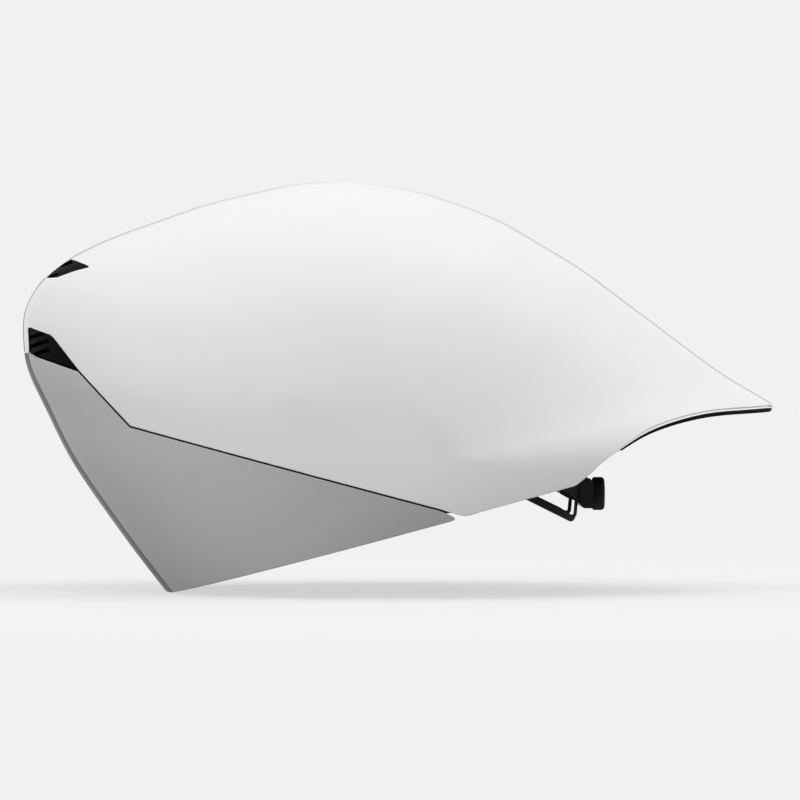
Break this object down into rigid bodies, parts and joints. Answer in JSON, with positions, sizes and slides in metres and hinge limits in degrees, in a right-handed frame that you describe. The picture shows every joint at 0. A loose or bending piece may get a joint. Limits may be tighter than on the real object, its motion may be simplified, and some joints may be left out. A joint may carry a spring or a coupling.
{
  "type": "aero time trial helmet",
  "caption": "Teardrop time trial helmet: white shell over foam, magnetic grey eye shield, padded head space and a dial-drawn cradle behind the head.",
  "frame": {"origin": "midway between nose and tail and between the sides, on the plane of the shield's front lower edge", "axes": "+X from the nose to the tail, +Y to the wearer's right, +Z to the crown"},
  "size_m": [0.3516, 0.204, 0.1916],
  "materials": {
    "shell_white": "gloss white in-moulded skin",
    "black_shell": "satin black in-moulded plastic",
    "liner_foam": "black expanded bead foam",
    "shield_lens": "grey flash-coated tinted polycarbonate",
    "magnet_metal": "nickel plated",
    "band_plastic": "black nylon, satin",
    "housing_plastic": "black nylon, fine grain",
    "dial_rubber": "black, ribbed",
    "pad_fabric": "black brushed knit over foam",
    "strap_webbing": "black woven webbing",
    "buckle_plastic": "black acetal, satin",
    "keeper_rubber": "black",
    "screw_steel": "blackened steel"
  },
  "bodies": {
    "root": {"outer_shell": "shell_white", "foam_liner": "liner_foam", "shield_rail": "black_shell", "rail_magnets": "magnet_metal", "tail_panel": "black_shell", "upper_vent_insert": "black_shell", "lower_vent_inserts": "black_shell", "band_anchors": "band_plastic", "brow_pad": "pad_fabric", "side_pads": "pad_fabric", "crown_pads": "pad_fabric", "chin_strap_right": "strap_webbing", "chin_strap_left": "strap_webbing", "strap_dividers": "band_plastic", "strap_anchors": "band_plastic", "strap_keeper": "keeper_rubber", "buckle_socket": "buckle_plastic", "buckle_prong": "buckle_plastic"},
    "shield": {"shield_lens": "shield_lens", "shield_discs": "magnet_metal"},
    "headband": {"headband_arm_right": "band_plastic", "headband_arm_left": "band_plastic"},
    "cradle": {"cradle_side_right": "band_plastic", "cradle_side_left": "band_plastic", "nape_pads": "pad_fabric", "dial_housing_front": "housing_plastic", "dial_housing_back": "housing_plastic", "housing_screws": "screw_steel", "click_spring": "screw_steel"},
    "dial": {"dial_knob": "dial_rubber", "dial_pinion": "housing_plastic", "dial_screw": "screw_steel"},
    "rack_left": {"belt_rack_left": "band_plastic"},
    "rack_right": {"belt_rack_right": "band_plastic"}
  },
  "joints": [
    {"name": "shield_pull", "type": "slide", "parent": "root", "child": "shield", "axis": [-1, 0, 0], "range_m": [0, 0.2]},
    {"name": "band_tilt", "type": "hinge", "parent": "root", "child": "headband", "pos_m": [-0.06815, 0, 0.06], "axis": [0, 1, 0], "range_deg": [-3, 3]},
    {"name": "cradle_slide", "type": "slide", "parent": "headband", "child": "cradle", "axis": [-1, 0, 0], "range_m": [0, 0.018]},
    {"name": "dial_turn", "type": "hinge", "parent": "cradle", "child": "dial", "pos_m": [0.0904, 0, 0.0454], "axis": [-1, 0, 0], "range_deg": [0, 344]},
    {"name": "rack_left_slide", "type": "slide", "parent": "cradle", "child": "rack_left", "axis": [0, 1, 0], "range_m": [0, 0.018]},
    {"name": "rack_right_slide", "type": "slide", "parent": "cradle", "child": "rack_right", "axis": [0, -1, 0], "range_m": [0, 0.018]}
  ],
  "couplings": [
    {"joint": "dial_turn", "follows": "cradle_slide", "rad_per_m": 333.33},
    {"joint": "rack_left_slide", "follows": "cradle_slide", "ratio": 1},
    {"joint": "rack_right_slide", "follows": "cradle_slide", "ratio": 1}
  ]
}
